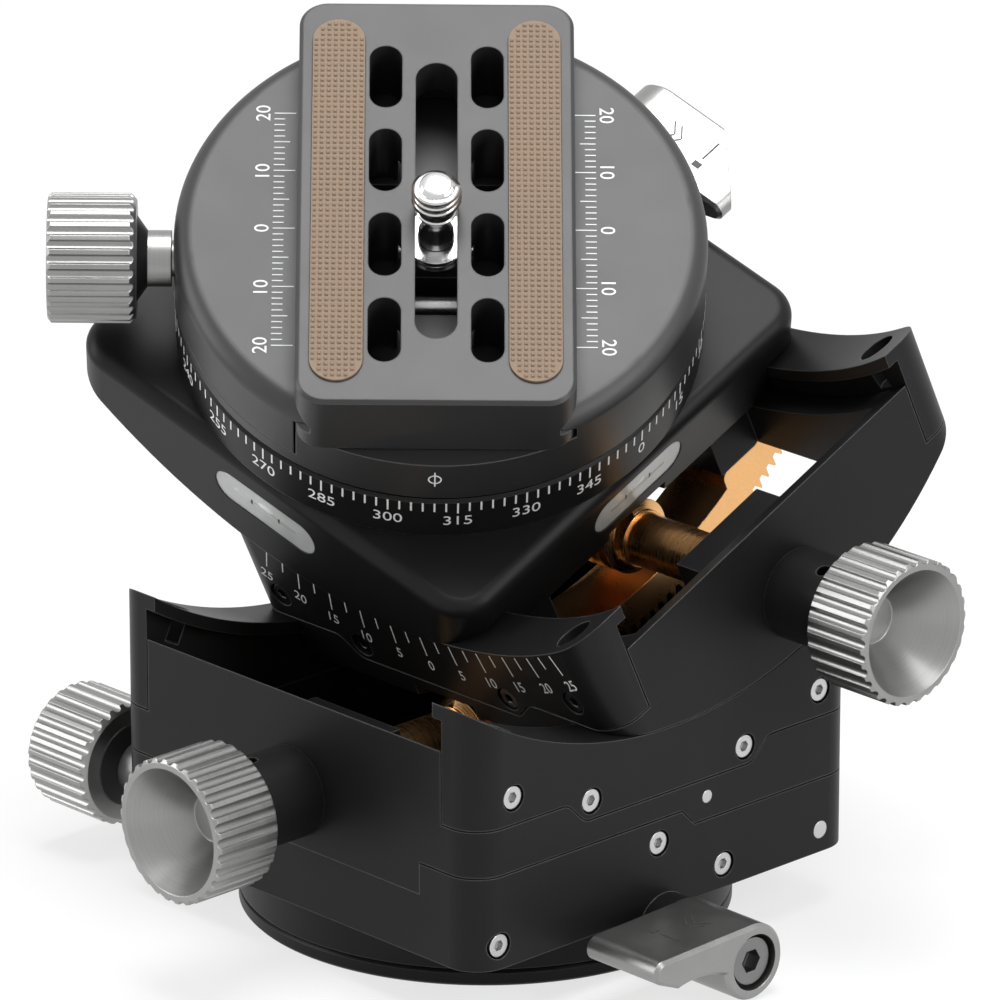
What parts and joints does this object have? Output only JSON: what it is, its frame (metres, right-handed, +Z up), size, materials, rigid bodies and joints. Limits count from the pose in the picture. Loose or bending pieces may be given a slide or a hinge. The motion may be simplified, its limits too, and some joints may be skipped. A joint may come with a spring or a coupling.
{
  "type": "geared tripod head",
  "caption": "Geared tripod head: panning foot, worm-driven curved tilt slides stacked crosswise, round panning clamp and dovetail camera plate, with fluted knobs and lock levers.",
  "frame": {"origin": "centre of the underside of the panning foot, on the pan axis and on the tripod socket", "axes": "+Z up along the pan axis; -Y out of the side with the lower tilt knob; +X out of the side with the pan lock lever. The cradle is shown tilted 25 degrees about +X and the top stage 25 degrees about the cradle's +Y"},
  "size_m": [0.1177, 0.1171, 0.1182],
  "materials": {
    "black": "satin black anodised",
    "silver": "satin silver anodised",
    "bronze": "machined bronze",
    "steel": "turned steel",
    "dark_steel": "blackened steel",
    "rubber": "tan rubber",
    "glass": "clear bubble level"
  },
  "bodies": {
    "pan_base": {"base_foot": "black", "base_insert": "steel", "retaining_washer": "steel", "retaining_screws": "dark_steel"},
    "lower_block": {"lower_housing": "black", "lower_frame": "black", "lower_arc_plate_right": "black", "lower_arc_plate_left": "black", "lower_plate_screws": "steel", "housing_screws": "steel", "dowel_pins": "steel", "drag_ring": "silver", "pan_lock_pad": "bronze", "lower_bearing_collar": "black"},
    "pan_lock": {"pan_lock_lever": "silver", "pan_lock_bolt": "steel"},
    "drag_control": {"drag_knob": "silver", "drag_knob_collar": "black", "drag_screw": "steel"},
    "lower_drive": {"lower_knob": "silver", "lower_worm": "bronze"},
    "cradle": {"cradle_frame": "black", "lower_gear_sector": "bronze", "upper_arc_plate_rear": "black", "upper_arc_plate_front": "black", "upper_plate_screws": "dark_steel", "upper_bearing_collar": "black"},
    "upper_drive": {"upper_knob": "silver", "upper_worm": "bronze"},
    "top_stage": {"stage_body": "black", "upper_gear_sector": "bronze", "pan_ring": "black", "vial_front": "glass", "vial_right": "glass", "top_lock_pad": "bronze"},
    "top_lock": {"top_lock_lever": "silver", "top_lock_bolt": "steel"},
    "clamp": {"clamp_body": "black"},
    "jaw": {"clamp_jaw": "black", "guide_rods": "steel"},
    "clamp_control": {"clamp_knob": "silver", "clamp_knob_collar": "black", "clamp_screw": "steel"},
    "plate": {"camera_plate": "black", "rubber_strips": "rubber"},
    "screw_carrier": {"screw_washer": "steel"},
    "screw": {"camera_screw": "steel"}
  },
  "joints": [
    {"name": "base_pan", "type": "hinge", "parent": "pan_base", "child": "lower_block", "pos_m": [0, 0, 0], "axis": [0, 0, 1], "continuous": true},
    {"name": "pan_lock_turn", "type": "hinge", "parent": "lower_block", "child": "pan_lock", "pos_m": [0.0396, -0.0008, 0.0056], "axis": [1, 0, 0], "range_deg": [-80, 0]},
    {"name": "drag_turn", "type": "hinge", "parent": "lower_block", "child": "drag_control", "pos_m": [-0.0362, -0.0265, 0.0136], "axis": [-1, 0, 0], "range_deg": [0, 180]},
    {"name": "lower_tilt", "type": "hinge", "parent": "lower_block", "child": "cradle", "pos_m": [0, 0, 0.1], "axis": [1, 0, 0], "range_deg": [-50, 0]},
    {"name": "lower_worm_turn", "type": "hinge", "parent": "lower_block", "child": "lower_drive", "pos_m": [0, 0, 0.0249], "axis": [0, -1, 0], "range_deg": [-11720, 20]},
    {"name": "upper_tilt", "type": "hinge", "parent": "cradle", "child": "top_stage", "pos_m": [0, -0.00778, 0.11668], "axis": [0, 0.9063, 0.4226], "range_deg": [-50, 0]},
    {"name": "upper_worm_turn", "type": "hinge", "parent": "cradle", "child": "upper_drive", "pos_m": [0, 0.02434, 0.0478], "axis": [1, 0, 0], "range_deg": [-11870, 20]},
    {"name": "top_lock_turn", "type": "hinge", "parent": "top_stage", "child": "top_lock", "pos_m": [-0.02117, 0.04603, 0.09167], "axis": [0, 0.9063, 0.4226], "range_deg": [-80, 0]},
    {"name": "top_pan", "type": "hinge", "parent": "top_stage", "child": "clamp", "pos_m": [-0.0175, 0.00808, 0.08267], "axis": [0.4226, -0.383, 0.8214], "continuous": true},
    {"name": "jaw_slide", "type": "slide", "parent": "clamp", "child": "jaw", "axis": [-0.683, -0.7304, 0.0108], "range_m": [0, 0.0025]},
    {"name": "clamp_knob_turn", "type": "hinge", "parent": "jaw", "child": "clamp_control", "pos_m": [-0.04228, -0.02343, 0.08803], "axis": [-0.683, -0.7304, 0.0108], "range_deg": [-5, 1130]},
    {"name": "plate_slide", "type": "slide", "parent": "clamp", "child": "plate", "axis": [-0.5958, 0.5655, 0.5703], "range_m": [-0.014, 0.014]},
    {"name": "screw_slide", "type": "slide", "parent": "plate", "child": "screw_carrier", "axis": [-0.5958, 0.5655, 0.5703], "range_m": [-0.018, 0.022]},
    {"name": "screw_turn", "type": "hinge", "parent": "screw_carrier", "child": "screw", "pos_m": [-0.00899, -0.00061, 0.09755], "axis": [0.4226, -0.383, 0.8214], "continuous": true}
  ],
  "couplings": [
    {"joint": "lower_worm_turn", "follows": "lower_tilt", "ratio": 234},
    {"joint": "upper_worm_turn", "follows": "upper_tilt", "ratio": 237},
    {"joint": "clamp_knob_turn", "follows": "jaw_slide", "rad_per_m": 7854}
  ]
}
